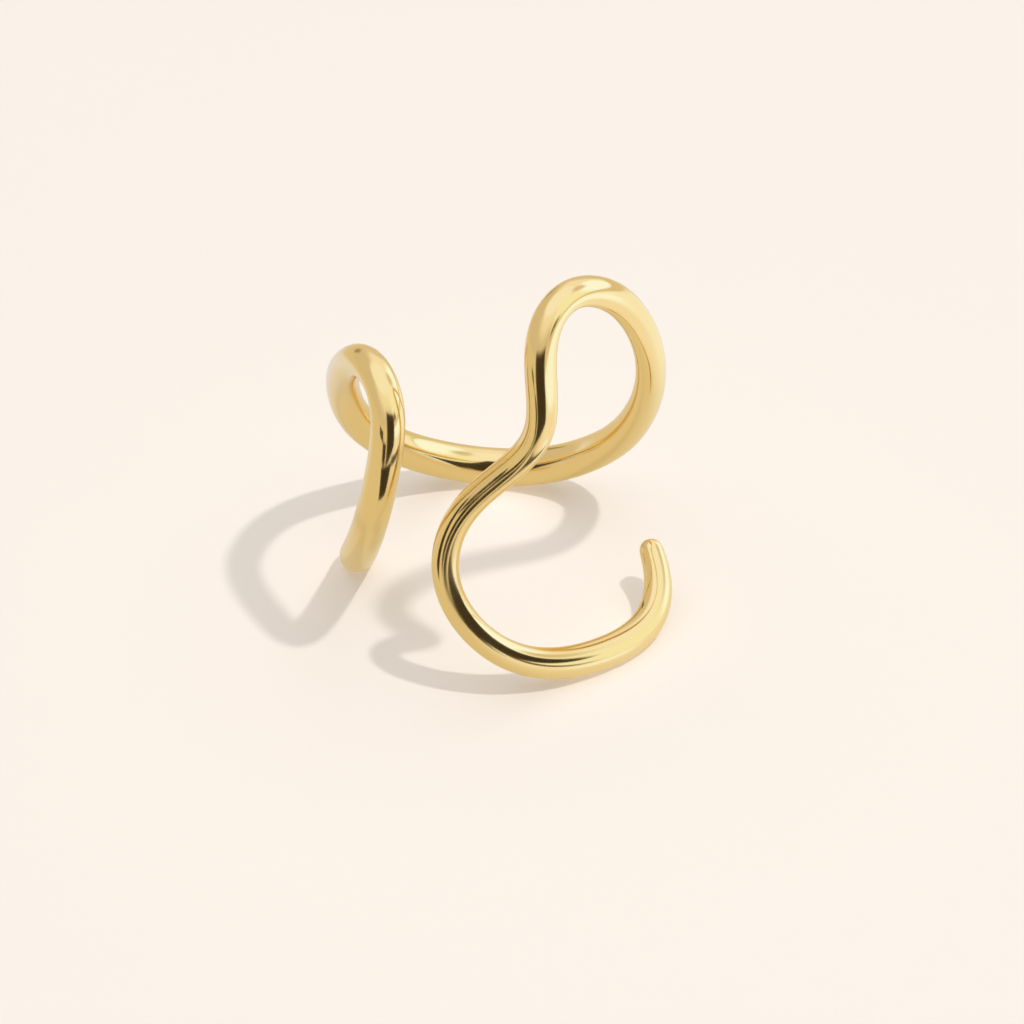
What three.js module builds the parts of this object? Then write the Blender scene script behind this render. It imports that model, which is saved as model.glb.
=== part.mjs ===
// Wave ring: one length of round gold wire that rises and falls as a wave
// around the finger. It stands on its left end, its back trough and its front
// trough. The right-hand end is free and curls up off the surface.
//
// Millimetres, +Z up along the finger. The origin is on the surface that the
// ring stands on, under the middle of its outline.

import * as THREE from 'three';
import { NURBSCurve } from 'three/addons/curves/NURBSCurve.js';

const FINGER_RADIUS = 8.5;   // mean clear radius inside the band
const SIDES = 20;            // facets around the wire
const STEP = 0.85;           // spacing of the rings of facets along the wire
const DOME_RINGS = 4;        // rings of facets on each rounded end
const RUB_DEPTH = 0.05;      // metal rubbed off where the ring stands
const SPLINE_DEGREE = 3;

const GOLD = { color: 0xdcb45c, roughness: 0.12, metalness: 1.0 };

// The bends of the wave, in order along the wire. Each row is a place that the
// wire is drawn towards:
//   turn    degrees around the finger, 0 = right, 90 = back, 270 = front
//   height  above the surface
//   reach   how far the wire's middle stands outside the finger
//   thick   the wire's diameter, which swells in the troughs and on the crests
const BENDS = [
  { turn: 167.0, height: 1.00, reach: -0.05, thick: 2.15 },   // left end, standing
  { turn: 221.0, height: 9.65, reach: 1.20, thick: 2.10 },
  { turn: 234.0, height: 15.90, reach: 2.30, thick: 2.00 },
  { turn: 235.5, height: 20.90, reach: 1.45, thick: 2.05 },   // left crest
  { turn: 215.0, height: 21.95, reach: 0.20, thick: 2.00 },
  { turn: 189.0, height: 18.25, reach: 0.15, thick: 1.95 },
  { turn: 163.0, height: 13.40, reach: 0.75, thick: 1.95 },
  { turn: 145.5, height: 8.20, reach: 1.60, thick: 2.10 },
  { turn: 124.5, height: 3.75, reach: 1.60, thick: 2.20 },
  { turn: 97.5, height: 0.70, reach: 1.85, thick: 2.30 },     // back trough, standing
  { turn: 71.0, height: 1.30, reach: 1.15, thick: 2.30 },
  { turn: 43.5, height: 4.90, reach: 1.10, thick: 2.10 },
  { turn: 22.5, height: 9.40, reach: 0.75, thick: 1.95 },
  { turn: 1.5, height: 14.55, reach: 0.90, thick: 1.80 },
  { turn: -13.5, height: 19.85, reach: 1.15, thick: 1.75 },
  { turn: -29.5, height: 25.40, reach: 0.35, thick: 1.90 },
  { turn: -58.0, height: 28.40, reach: -0.15, thick: 1.80 },  // high crest
  { turn: -75.0, height: 26.05, reach: 1.10, thick: 1.95 },
  { turn: -72.0, height: 20.65, reach: 2.10, thick: 1.80 },
  { turn: -79.0, height: 17.00, reach: 0.85, thick: 1.70 },
  { turn: -105.5, height: 13.40, reach: 0.75, thick: 1.70 },
  { turn: -110.5, height: 7.65, reach: 1.65, thick: 1.55 },
  { turn: -88.5, height: 2.40, reach: 1.80, thick: 1.75 },
  { turn: -54.5, height: 0.60, reach: 1.65, thick: 2.05 },    // front trough, standing
  { turn: -23.0, height: 1.00, reach: 2.85, thick: 1.90 },
  { turn: -7.0, height: 3.35, reach: 0.80, thick: 1.45 },     // right end, free
];

// A smooth curve drawn towards every point and meeting the first and the last.
function splineThrough(points) {
  const spans = points.length - SPLINE_DEGREE;
  const knots = [];
  for (let i = -SPLINE_DEGREE; i <= spans + SPLINE_DEGREE; i += 1) {
    knots.push(THREE.MathUtils.clamp(i, 0, spans) / spans);
  }
  return new NURBSCurve(SPLINE_DEGREE, knots, points);
}

function wireCentreline() {
  const points = BENDS.map(({ turn, height, reach }) => {
    const angle = THREE.MathUtils.degToRad(turn);
    const radius = FINGER_RADIUS + reach;
    return new THREE.Vector4(radius * Math.cos(angle), radius * Math.sin(angle), height, 1);
  });
  return splineThrough(points);
}

// The wire's radius along the centreline, carried in the X of a second spline.
function wireRadiusCurve() {
  return splineThrough(BENDS.map(({ thick }) => new THREE.Vector4(thick / 2, 0, 0, 1)));
}

// Stations along the wire: a middle, a tangent and the two directions across it.
function wireStations(centreline, radiusCurve) {
  const count = Math.round(centreline.getLength() / STEP);
  const frames = centreline.computeFrenetFrames(count, false);
  const stations = [];
  for (let i = 0; i <= count; i += 1) {
    const t = centreline.getUtoTmapping(i / count);
    stations.push({
      middle: centreline.getPoint(t),
      radius: radiusCurve.getPoint(t).x,
      along: frames.tangents[i],
      across: frames.binormals[i],
      outward: frames.normals[i],
    });
  }
  return stations;
}

// The rings of a rounded end, from its tip to just short of the full wire.
function domeStations(end, direction) {
  const rings = [];
  for (let i = 0; i < DOME_RINGS; i += 1) {
    const angle = (Math.PI / 2) * (1 - i / DOME_RINGS);
    const offset = direction * end.radius * Math.sin(angle);
    rings.push({
      ...end,
      middle: end.middle.clone().addScaledVector(end.along, offset),
      radius: i === 0 ? 0 : end.radius * Math.cos(angle),
    });
  }
  return rings;
}

// A straight turned rod with one row of profile points for each station, bent
// so that each row lies square to the wire at its own station.
function bentRod(stations) {
  const profile = stations.map(({ radius }, i) => new THREE.Vector2(radius, i));
  const rod = new THREE.LatheGeometry(profile, SIDES);
  const position = rod.attributes.position;
  const vertex = new THREE.Vector3();
  for (let i = 0; i < position.count; i += 1) {
    vertex.fromBufferAttribute(position, i);
    const { middle, across, outward } = stations[i % stations.length];
    const placed = middle.clone();
    placed.addScaledVector(across, vertex.x);
    placed.addScaledVector(outward, vertex.z);
    position.setXYZ(i, placed.x, placed.y, placed.z);
  }
  return rod;
}

// The three standing places are rubbed flat where they touch the surface.
function flattenOnSurface(geometry) {
  geometry.translate(0, 0, -RUB_DEPTH);
  const position = geometry.attributes.position;
  for (let i = 0; i < position.count; i += 1) {
    position.setZ(i, Math.max(position.getZ(i), 0));
  }
}

function centreOverOrigin(geometry) {
  geometry.computeBoundingBox();
  const centre = geometry.boundingBox.getCenter(new THREE.Vector3());
  geometry.translate(-centre.x, -centre.y, 0);
}

function waveBand() {
  const wire = wireStations(wireCentreline(), wireRadiusCurve());
  const startDome = domeStations(wire[0], -1);
  const endDome = domeStations(wire[wire.length - 1], 1).reverse();
  const geometry = bentRod([...startDome, ...wire, ...endDome]);
  flattenOnSurface(geometry);
  centreOverOrigin(geometry);
  geometry.computeVertexNormals();
  const mesh = new THREE.Mesh(geometry, new THREE.MeshStandardMaterial(GOLD));
  mesh.name = 'wave_band';
  return mesh;
}

const ring = new THREE.Group();
ring.name = 'wave_ring';
ring.add(waveBand());

export default ring;
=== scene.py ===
import math

import bmesh
import bpy
from bpy.props import FloatProperty, FloatVectorProperty, IntProperty, PointerProperty
from bpy.types import Operator, Panel, PropertyGroup
from mathutils import Matrix, Vector


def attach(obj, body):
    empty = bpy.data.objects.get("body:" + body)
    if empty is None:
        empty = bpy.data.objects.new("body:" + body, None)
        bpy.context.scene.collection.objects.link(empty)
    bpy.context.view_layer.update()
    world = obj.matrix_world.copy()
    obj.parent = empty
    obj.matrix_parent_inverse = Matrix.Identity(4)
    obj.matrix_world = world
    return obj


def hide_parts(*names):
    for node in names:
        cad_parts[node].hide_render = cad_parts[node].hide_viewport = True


bl_info = {
    "name": "Wave Ring",
    "version": (1, 0, 0),
    "blender": (4, 5, 0),
    "location": "3D View > Sidebar > Wave Ring",
    "description": "A polished gold wire ring in a wave, on a pale studio floor",
    "category": "Object",
}

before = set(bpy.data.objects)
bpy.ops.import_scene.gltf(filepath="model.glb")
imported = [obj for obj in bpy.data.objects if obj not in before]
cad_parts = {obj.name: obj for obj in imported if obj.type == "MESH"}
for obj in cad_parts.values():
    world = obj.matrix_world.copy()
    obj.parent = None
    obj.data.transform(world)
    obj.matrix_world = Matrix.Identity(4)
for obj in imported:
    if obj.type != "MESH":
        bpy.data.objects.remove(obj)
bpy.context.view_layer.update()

MM = 0.001                 # every length here is in metres
UP = Vector((0.0, 0.0, 1.0))


# ---------------------------------------------------------------- settings


class WAVERING_PG_gold(PropertyGroup):
    """Finish of the gold wire."""

    bright: FloatVectorProperty(
        name="Bright gold",
        description="Colour of the gold where its polish is freshest",
        subtype="COLOR", size=3, min=0.0, max=1.0, default=(0.925, 0.70, 0.32),
    )
    deep: FloatVectorProperty(
        name="Deep gold",
        description="Slightly warmer colour that the bright gold drifts towards",
        subtype="COLOR", size=3, min=0.0, max=1.0, default=(0.905, 0.68, 0.29),
    )
    rim: FloatVectorProperty(
        name="Rim",
        description="Tint of the gold where it is seen edge-on",
        subtype="COLOR", size=3, min=0.0, max=1.0, default=(0.98, 0.93, 0.78),
    )
    gloss_low: FloatProperty(
        name="Smoothest",
        description="Roughness where the polish is best",
        subtype="FACTOR", min=0.0, max=1.0, default=0.10,
    )
    gloss_high: FloatProperty(
        name="Roughest",
        description="Roughness where the polish is hazy",
        subtype="FACTOR", min=0.0, max=1.0, default=0.17,
    )
    ripple: FloatProperty(
        name="Ripple depth",
        description="Height of the slow waves that hand polishing leaves",
        subtype="DISTANCE", unit="LENGTH", min=0.0, default=0.002 * MM,
    )
    scratches: FloatProperty(
        name="Polishing lines",
        description="Height of the finest lines along the wire",
        subtype="DISTANCE", unit="LENGTH", min=0.0, default=0.0001 * MM,
    )
    smoothing: IntProperty(
        name="Smoothing",
        description="Subdivision levels of the wire",
        min=0, max=3, default=2,
    )


class WAVERING_PG_stage(PropertyGroup):
    """Floor, lights and camera."""

    paper: FloatVectorProperty(
        name="Paper",
        description="Colour of the floor",
        subtype="COLOR", size=3, min=0.0, max=1.0, default=(0.86, 0.791, 0.726),
    )
    room: FloatProperty(
        name="Room light",
        description="Brightness of the room that the gold mirrors",
        min=0.0, default=1.0,
    )
    key: FloatProperty(
        name="Key light",
        description="Light that the shadow-casting lamp throws on the floor",
        min=0.0, default=0.28,
    )
    key_angle: FloatProperty(
        name="Key softness",
        description="How wide the shadow-casting lamp looks from the ring",
        subtype="ANGLE", unit="ROTATION", min=0.0, default=math.radians(2.3),
    )
    overhead: FloatProperty(
        name="Overhead light",
        description="Light that the wide lamp straight above throws on the floor",
        min=0.0, default=0.46,
    )
    fill: FloatProperty(
        name="Fill light",
        description="Even light on the floor that casts no shadow",
        min=0.0, default=0.385,
    )
    lens: FloatProperty(
        name="Lens",
        description="Focal length of the camera",
        unit="CAMERA", min=1.0, default=359.8,
    )


# ------------------------------------------------------------ small helpers


def mesh_object(name, shape, material):
    """A new object from a bmesh, at the origin, with one material."""
    mesh = bpy.data.meshes.new(name)
    shape.to_mesh(mesh)
    shape.free()
    mesh.materials.append(material)
    piece = bpy.data.objects.new(name, mesh)
    bpy.context.scene.collection.objects.link(piece)
    return piece


def add_node(tree, kind, values=(), **settings):
    """A node with its settings, and its sockets set from (name, value) pairs."""
    node = tree.nodes.new(kind)
    for key, value in settings.items():
        setattr(node, key, value)
    for socket, value in values:
        node.inputs[socket].default_value = value
    return node


def bare_surface(owner, output="ShaderNodeOutputMaterial"):
    """The emptied node tree of a material or a world, and its surface's socket."""
    owner.use_nodes = True
    tree = owner.node_tree
    tree.nodes.clear()
    return tree, add_node(tree, output).inputs["Surface"]


def add_blend(tree, factor, under, colour):
    """Mixes a colour over another, or over a socket's, and gives the mixed socket."""
    mix = add_node(tree, "ShaderNodeMix", [("B", (*colour, 1.0))], data_type="RGBA")
    tree.links.new(factor, mix.inputs["Factor"])
    if isinstance(under, bpy.types.NodeSocket):
        tree.links.new(under, mix.inputs["A"])
    else:
        mix.inputs["A"].default_value = (*under, 1.0)
    return mix.outputs["Result"]


def smooth_step(tree, value, start, end):
    """A socket that eases from 0 to 1 as a value goes from a start to an end."""
    step = add_node(
        tree, "ShaderNodeMapRange", [("From Min", start), ("From Max", end)],
        interpolation_type="SMOOTHSTEP",
    )
    tree.links.new(value, step.inputs["Value"])
    return step.outputs["Result"]


def turned_to(direction, roll=0.0):
    """The turn that looks along a direction with Z kept up, then rolled."""
    look = direction.to_track_quat("-Z", "Y").to_matrix()
    return (look @ Matrix.Rotation(roll, 3, "Z")).to_4x4()


# -------------------------------------------------------------------- stage


# The camera: how steeply it looks down, its distance, its roll and its aim.
VIEW_ELEVATION = math.radians(39.82)
VIEW_DISTANCE = 608.25 * MM
VIEW_ROLL = math.radians(-1.394)
VIEW_AIM = Vector((0.68, 2.72, 3.25)) * MM

# The lamps: the way to the one that casts the shadow, and how far away each is.
KEY_FROM = Vector((0.352, -0.258, 1.0)).normalized()
KEY_DISTANCE = 1.5
OVERHEAD_ANGLE = math.radians(80.0)
LAMP_DISTANCE = 2.0

FLOOR_SIZE = 6.0
PAPER_ROUGHNESS = 0.9

# The room round the ring, painted in order over an even dim wall. Each row is a
# soft round patch: the direction of its middle (azimuth from +Y towards +X, and
# elevation, in degrees), how far it stays whole and how wide its soft rim is
# (degrees), and its colour.
ROOM_WALL = (0.72, 0.67, 0.63)
ROOM = {
    # name: azimuth, elevation, core, rim, colour
    "front_wall": (177.0, 59.0, 22.0, 33.0, (0.97, 0.97, 0.99)),
    "right_wall": (68.0, 34.0, 54.0, 24.0, (1.00, 1.01, 1.11)),
    "right_side": (93.0, 11.0, 44.0, 14.0, (1.02, 1.12, 1.13)),
    "ceiling": (0.0, 90.0, 33.0, 12.0, (1.02, 1.10, 1.29)),
    "right_window": (61.0, 14.0, 20.0, 12.0, (1.07, 1.33, 1.90)),
    "right_frame": (69.0, 42.0, 5.0, 12.0, (0.77, 0.70, 0.65)),
    "back_panel": (8.0, 3.0, 11.0, 11.0, (0.77, 0.74, 0.82)),
    "back_flag": (-25.0, 4.0, 2.0, 9.0, (0.38, 0.31, 0.23)),
    "right_flag": (133.0, 3.0, 4.0, 8.0, (0.20, 0.15, 0.10)),
}

# Painted reflection of the floor in the gold: a thin veil, seen only by mirror reflections,
# lets this much of the paper's own light through and adds a painted glow, with soft round
# painted pools over it (millimetres).
VEIL = 0.3
VEIL_HEIGHT = 0.02 * MM
FLOOR_GLOW = (0.49, 0.45, 0.35)
FLOOR_GLOWS = {
    # name: middle (x, y), core, rim, colour
    "left_back": ((-30.2, 22.1), 5.9, 23.9, (0.57, 0.64, 0.96)),
    "right": ((99.9, 0.0), 75.5, 21.0, (0.74, 0.86, 1.08)),
    "front_right": ((20.4, -19.8), 11.5, 12.7, (0.70, 0.71, 0.78)),
    "far_right": ((75.0, -45.0), 42.0, 14.0, (0.77, 1.02, 1.50)),
    "low_gleam": ((11.5, -12.5), 2.0, 3.5, (0.76, 0.98, 1.40)),
}

# Upright dark screens that paint dark reflections in the gold, round the ring and one
# inside it before the back trough. Only the ring's mirror reflections see them.
# colour of the dark reflections that the screens paint in the gold
DARK_REFLECTION_COLOUR = (0.050, 0.040, 0.026)
SCREEN_SOFTNESS = 0.10     # how wide the soft rim is, as a share of the screen
SCREENS = {
    # name: one foot (x, y), the other foot (x, y), bottom, top (millimetres)
    "main": ((-8.8, -24.8), (14.0, -32.5), -3.5, 28.0),
    "left_high": ((-30.4, -28.3), (-15.7, -27.0), 10.0, 15.9),
    "left_low": ((-17.2, -27.5), (-8.8, -24.8), 0.0, 12.0),
    "left_leg": ((-7.9, -11.2), (-4.8, -11.2), 7.5, 15.5),
    "lobe": ((-0.5, -19.1), (9.5, -9.9), 3.8, 8.1),
    "trough": ((-1.4, 7.1), (0.3, 6.9), 1.5, 8.0),
}
SCREEN_CORNERS = ((0.0, 0.0), (1.0, 0.0), (1.0, 1.0), (0.0, 1.0))
SCREEN_MIDDLE = 0.5        # of its UV map, as the corners are


def add_camera(lens):
    """The camera, in front of the ring and above it, with a slight roll."""
    data = bpy.data.cameras.new("camera")
    data.lens = lens
    camera = bpy.data.objects.new("camera", data)
    look = Vector((0.0, math.cos(VIEW_ELEVATION), -math.sin(VIEW_ELEVATION)))
    camera.matrix_world = (
        Matrix.Translation(VIEW_AIM - look * VIEW_DISTANCE) @ turned_to(look, VIEW_ROLL)
    )
    bpy.context.scene.collection.objects.link(camera)
    bpy.context.scene.camera = camera


def flat_sheet(name, height, material):
    """A square sheet as large as the floor, at a height."""
    shape = bmesh.new()
    bmesh.ops.create_grid(shape, x_segments=1, y_segments=1, size=FLOOR_SIZE / 2)
    bmesh.ops.translate(shape, vec=UP * height, verts=shape.verts)
    return mesh_object(name, shape, material)


def add_floor(colour):
    """The pale paper that the ring stands on."""
    paper = bpy.data.materials.new("pale_paper")
    tree, surface = bare_surface(paper)
    shader = add_node(
        tree, "ShaderNodeBsdfPrincipled",
        [("Base Color", (*colour, 1.0)), ("Roughness", PAPER_ROUGHNESS),
         ("Specular IOR Level", 0.0)],
    )
    tree.links.new(shader.outputs["BSDF"], surface)
    flat_sheet("paper_floor", 0.0, paper)


def add_lamp(name, kind, direction, distance, **settings):
    """A lamp this far away in a direction, turned to the ring, which doesn't mirror it."""
    data = bpy.data.lights.new(name, kind)
    for key, value in settings.items():
        setattr(data, key, value)
    lamp = bpy.data.objects.new(name, data)
    lamp.matrix_world = Matrix.Translation(direction * distance) @ turned_to(-direction)
    lamp.visible_glossy = False
    bpy.context.scene.collection.objects.link(lamp)


def add_disc(name, direction, distance, light, angle):
    """A round lamp that looks this wide from the floor and lights it this much."""
    add_lamp(
        name, "AREA", direction, distance, shape="DISK",
        size=2 * distance * math.tan(angle / 2),
        energy=light * (math.pi * distance / math.cos(angle / 2)) ** 2 / direction.z,
    )


def add_lamps(stage):
    """The lamp that casts the shadow, a wide one overhead, and an even fill."""
    add_disc("key_lamp", KEY_FROM, KEY_DISTANCE, stage.key, stage.key_angle)
    add_disc("overhead_lamp", UP, LAMP_DISTANCE, stage.overhead, OVERHEAD_ANGLE)
    add_lamp(
        "fill_lamp", "SUN", UP, LAMP_DISTANCE,
        energy=stage.fill * math.pi, use_shadow=False,
    )


def direction_of(azimuth, elevation):
    """The direction at an azimuth from +Y towards +X and an elevation, in degrees."""
    a, e = math.radians(azimuth), math.radians(elevation)
    return Vector((math.sin(a) * math.cos(e), math.cos(a) * math.cos(e), math.sin(e)))


def add_room(strength):
    """The room that the gold mirrors. It doesn't light the floor."""
    world = bpy.data.worlds.new("studio_room")
    tree, surface = bare_surface(world, "ShaderNodeOutputWorld")
    glow = add_node(tree, "ShaderNodeBackground", [("Strength", strength)])
    outward = add_node(tree, "ShaderNodeTexCoord")
    colour = ROOM_WALL
    for name, (azimuth, elevation, core, rim, patch) in ROOM.items():
        near = add_node(
            tree, "ShaderNodeVectorMath", [(1, direction_of(azimuth, elevation))],
            operation="DOT_PRODUCT", label=name,
        )
        tree.links.new(outward.outputs["Generated"], near.inputs[0])
        whole, faded = math.cos(math.radians(core)), math.cos(math.radians(core + rim))
        factor = smooth_step(tree, near.outputs["Value"], faded, whole)
        colour = add_blend(tree, factor, colour, patch)
    tree.links.new(colour, glow.inputs["Color"])
    tree.links.new(glow.outputs["Background"], surface)
    world.cycles_visibility.diffuse = False
    bpy.context.scene.world = world


def only_for_the_gold(piece):
    """Leaves a stage piece visible to mirror reflections and to nothing else."""
    piece.visible_camera = False
    piece.visible_diffuse = False
    piece.visible_shadow = False
    piece.visible_transmission = False


def add_painted_floor_reflection():
    """The thin sheet over the floor that paints the floor's reflection in the gold, with a
    painted glow.
    """
    material = bpy.data.materials.new("painted_floor_reflection")
    tree, surface = bare_surface(material)
    link = tree.links.new
    both = add_node(tree, "ShaderNodeAddShader")
    through = add_node(tree, "ShaderNodeBsdfTransparent", [("Color", (VEIL, VEIL, VEIL, 1.0))])
    glow = add_node(tree, "ShaderNodeEmission")
    place = add_node(tree, "ShaderNodeTexCoord")
    # painted glow and pools of light, which only the gold's reflections show
    colour = FLOOR_GLOW
    for name, (middle, core, rim, patch) in FLOOR_GLOWS.items():
        away = add_node(
            tree, "ShaderNodeVectorMath", [(1, Vector((*middle, 0.0)) * MM)],
            operation="DISTANCE", label=name,
        )
        link(place.outputs["Object"], away.inputs[0])
        factor = smooth_step(tree, away.outputs["Value"], (core + rim) * MM, core * MM)
        colour = add_blend(tree, factor, colour, patch)
    link(colour, glow.inputs["Color"])
    link(through.outputs["BSDF"], both.inputs[0])
    link(glow.outputs["Emission"], both.inputs[1])
    link(both.outputs["Shader"], surface)
    only_for_the_gold(flat_sheet("painted_floor_reflection", VEIL_HEIGHT, material))


def soft_edge(tree, place):
    """How far a place is inside its screen: 0 on the screen's edge, 1 well within."""
    product = add_node(tree, "ShaderNodeMath", operation="MULTIPLY")
    for axis, side in (("X", 0), ("Y", 1)):
        inside = add_node(tree, "ShaderNodeMath", [(1, SCREEN_MIDDLE)], operation="PINGPONG")
        tree.links.new(place.outputs[axis], inside.inputs[0])
        factor = smooth_step(tree, inside.outputs["Value"], 0.0, SCREEN_SOFTNESS)
        tree.links.new(factor, product.inputs[side])
    return product.outputs["Value"]


def screen_material():
    """Even dark, a painted dark reflection, fading to clear at each screen's edge."""
    material = bpy.data.materials.new("painted_dark_reflection")
    tree, surface = bare_surface(material)
    link = tree.links.new
    mix = add_node(tree, "ShaderNodeMixShader")
    clear = add_node(tree, "ShaderNodeBsdfTransparent")
    glow = add_node(tree, "ShaderNodeEmission", [("Color", (*DARK_REFLECTION_COLOUR, 1.0))])
    place = add_node(tree, "ShaderNodeTexCoord")
    split = add_node(tree, "ShaderNodeSeparateXYZ")
    link(place.outputs["UV"], split.inputs["Vector"])
    link(soft_edge(tree, split), mix.inputs["Fac"])
    link(clear.outputs["BSDF"], mix.inputs[1])
    link(glow.outputs["Emission"], mix.inputs[2])
    link(mix.outputs["Shader"], surface)
    return material


def add_screens():
    """The screens of painted dark reflection, each one upright face over the line between its
    feet.
    """
    shape = bmesh.new()
    layer = shape.loops.layers.uv.new("UVMap")
    for foot, other, bottom, top in SCREENS.values():
        corners = [(*foot, bottom), (*other, bottom), (*other, top), (*foot, top)]
        face = shape.faces.new([shape.verts.new(Vector(corner) * MM) for corner in corners])
        for loop, place in zip(face.loops, SCREEN_CORNERS):
            loop[layer].uv = place
    only_for_the_gold(mesh_object("painted_dark_reflections", shape, screen_material()))


class WAVERING_OT_stage(Operator):
    """Make the camera, the pale floor and the studio lights."""

    bl_idname = "wave_ring.stage"
    bl_label = "Studio"

    def execute(self, context):
        stage = context.scene.wave_ring_stage
        add_camera(stage.lens)
        add_floor(stage.paper)
        add_lamps(stage)
        add_room(stage.room)
        add_painted_floor_reflection()
        add_screens()
        context.scene.view_settings.view_transform = "Standard"
        return {"FINISHED"}


# --------------------------------------------------------------------- band


WELD = 0.001 * MM          # vertices closer than this are one
TIP_EDGES = 12             # a rounded end's tip has at least this many edges
SWELL = 0.006 * MM         # how far the wire is swelled before smoothing shrinks it

# Patterns in the gold, each as the scale and the detail of its noise. The two
# that follow the wire are stretched along it, by reading its length at a share.
DRIFT = (260.0, 2.0)
HAZE = (420.0, 4.0)
LINES = (16000.0, 3.0)
LINES_ALONG = 0.03
RIPPLES = (380.0, 1.0)
RIPPLES_ALONG = 0.55
LINES_IN_HAZE = 0.35       # the share of the haze that the lines make
HAZE_RANGE = (0.35, 0.7)   # the haze values with the best and the worst polish


def is_tip(vertex):
    """Whether a vertex is the middle of a rounded end's fan of triangles."""
    return len(vertex.link_edges) >= TIP_EDGES


def welded_quads(node):
    """A copy of a CAD node's mesh with its loose triangles welded into quads.

    The fan of triangles on each rounded tip stays.
    """
    shape = bmesh.new()
    shape.from_mesh(node.data)
    bmesh.ops.remove_doubles(shape, verts=shape.verts, dist=WELD)
    sides = [f for f in shape.faces if not any(is_tip(v) for v in f.verts)]
    bmesh.ops.join_triangles(
        shape, faces=sides,
        angle_face_threshold=math.pi, angle_shape_threshold=math.pi,
    )
    shape.verts.index_update()
    return shape


def wire_rings(shape):
    """The wire's rings of vertices in order, from the left tip to the right one."""
    tips = [v for v in shape.verts if is_tip(v)]
    if len(tips) != 2:
        raise RuntimeError(f"the wire has {len(tips)} rounded tips, and not 2")
    ring = [min(tips, key=lambda v: v.co.x)]
    seen, rings = set(ring), []
    while ring:
        rings.append(ring)
        beyond = {e.other_vert(v) for v in ring for e in v.link_edges} - seen
        ring = sorted(beyond, key=lambda v: v.index)
        seen.update(ring)
    return rings


def mark_wire_places(shape):
    """Stores each vertex's place on the wire as if it were unbent along Z.

    Polishing lines follow this, so they run along the wire round every bend.
    """
    layer = shape.verts.layers.float_vector.new("wire_place")
    rings = wire_rings(shape)
    middles = [sum((v.co for v in ring), Vector()) / len(ring) for ring in rings]
    outward = UP
    along = 0.0
    for i, ring in enumerate(rings):
        before, after = middles[max(i - 1, 0)], middles[min(i + 1, len(rings) - 1)]
        tangent = (after - before).normalized()
        outward = (outward - tangent * outward.dot(tangent)).normalized()
        across = tangent.cross(outward)
        if i:
            along += (middles[i] - middles[i - 1]).length
        for v in ring:
            arm = v.co - middles[i]
            v[layer] = (arm.dot(outward), arm.dot(across), along)


def add_noise(tree, place, pattern):
    """A pattern of noise read at a socket's places, as its value's socket."""
    scale, detail = pattern
    noise = add_node(tree, "ShaderNodeTexNoise", [("Scale", scale), ("Detail", detail)])
    tree.links.new(place, noise.inputs["Vector"])
    return noise.outputs["Fac"]


def add_stretch(tree, place, along):
    """A socket's places on the wire, with their length along it read at a share."""
    stretch = add_node(tree, "ShaderNodeMapping", [("Scale", (1.0, 1.0, along))])
    tree.links.new(place, stretch.inputs["Vector"])
    return stretch.outputs["Vector"]


def gold_material(gold):
    """Polished yellow gold with slow ripples, a faint haze and fine lines."""
    material = bpy.data.materials.new("polished_gold")
    tree, surface = bare_surface(material)
    link = tree.links.new
    shader = add_node(
        tree, "ShaderNodeBsdfPrincipled",
        [("Metallic", 1.0), ("Specular Tint", (*gold.rim, 1.0))],
    )
    link(shader.outputs["BSDF"], surface)
    place = add_node(tree, "ShaderNodeTexCoord").outputs["Object"]
    wire = add_node(tree, "ShaderNodeAttribute", attribute_name="wire_place").outputs["Vector"]

    # Colour drifts a little between two golds over a few millimetres.
    drift = add_noise(tree, place, DRIFT)
    link(add_blend(tree, drift, gold.bright, gold.deep), shader.inputs["Base Color"])

    # The polish is hazier in soft patches and along the finest lines.
    haze = add_noise(tree, place, HAZE)
    lines = add_noise(tree, add_stretch(tree, wire, LINES_ALONG), LINES)
    both = add_node(tree, "ShaderNodeMix", [("Factor", LINES_IN_HAZE)], data_type="FLOAT")
    link(haze, both.inputs["A"])
    link(lines, both.inputs["B"])
    best, worst = HAZE_RANGE
    gloss = add_node(
        tree, "ShaderNodeMapRange",
        [("From Min", best), ("From Max", worst),
         ("To Min", gold.gloss_low), ("To Max", gold.gloss_high)],
    )
    link(both.outputs["Result"], gloss.inputs["Value"])
    link(gloss.outputs["Result"], shader.inputs["Roughness"])

    # Slow ripples from hand polishing, then the lines themselves.
    slow = add_noise(tree, add_stretch(tree, wire, RIPPLES_ALONG), RIPPLES)
    ripple = add_node(tree, "ShaderNodeBump", [("Distance", gold.ripple)])
    link(slow, ripple.inputs["Height"])
    brushed = add_node(tree, "ShaderNodeBump", [("Distance", gold.scratches)])
    link(lines, brushed.inputs["Height"])
    link(ripple.outputs["Normal"], brushed.inputs["Normal"])
    link(brushed.outputs["Normal"], shader.inputs["Normal"])
    return material


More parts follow.
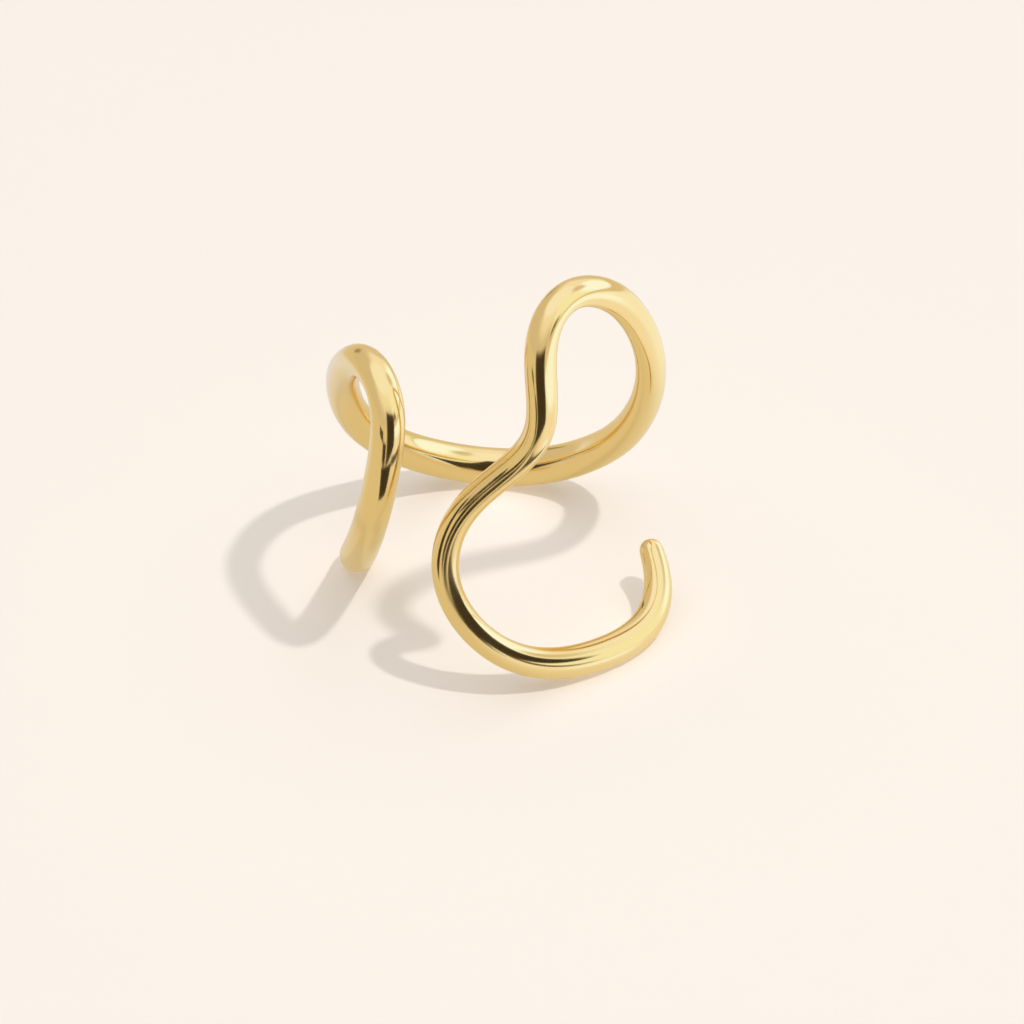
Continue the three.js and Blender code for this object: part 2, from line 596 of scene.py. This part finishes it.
class WAVERING_OT_band(Operator):
    """Make the gold wire band over its CAD solid, smooth and polished."""

    bl_idname = "wave_ring.band"
    bl_label = "Gold wire band"

    def execute(self, context):
        gold = context.scene.wave_ring_gold
        shape = welded_quads(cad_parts["wave_band"])
        mark_wire_places(shape)
        shape.normal_update()
        for v in shape.verts:
            v.co += v.normal * SWELL
            v.co.z = max(v.co.z, 0.0)    # the flats that it stands on stay on the floor
        for face in shape.faces:
            face.smooth = True
        band = mesh_object("gold_wire_band", shape, gold_material(gold))
        smooth = band.modifiers.new("smooth", "SUBSURF")
        smooth.levels = smooth.render_levels = gold.smoothing
        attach(band, "root")
        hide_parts("wave_band")
        return {"FINISHED"}


# --------------------------------------------------------------- the add-on


class WAVERING_PT_parts(Panel):
    """Lists the ring's pieces and their settings."""

    bl_label = "Wave Ring"
    bl_idname = "WAVERING_PT_parts"
    bl_space_type = "VIEW_3D"
    bl_region_type = "UI"
    bl_category = "Wave Ring"

    def draw(self, context):
        for operator, settings in (
            (WAVERING_OT_stage, context.scene.wave_ring_stage),
            (WAVERING_OT_band, context.scene.wave_ring_gold),
        ):
            box = self.layout.box()
            box.operator(operator.bl_idname)
            for name in settings.__annotations__:
                box.prop(settings, name)


CLASSES = (
    WAVERING_PG_gold,
    WAVERING_PG_stage,
    WAVERING_OT_stage,
    WAVERING_OT_band,
    WAVERING_PT_parts,
)


def register():
    """Adds the classes, and the settings to the scene."""
    for cls in CLASSES:
        bpy.utils.register_class(cls)
    bpy.types.Scene.wave_ring_gold = PointerProperty(type=WAVERING_PG_gold)
    bpy.types.Scene.wave_ring_stage = PointerProperty(type=WAVERING_PG_stage)


def unregister():
    """Takes away what register adds."""
    del bpy.types.Scene.wave_ring_stage
    del bpy.types.Scene.wave_ring_gold
    for cls in reversed(CLASSES):
        bpy.utils.unregister_class(cls)


def main():
    """Makes the stage and the ring."""
    register()
    bpy.ops.wave_ring.stage()
    bpy.ops.wave_ring.band()


if __name__ == "__main__":
    main()
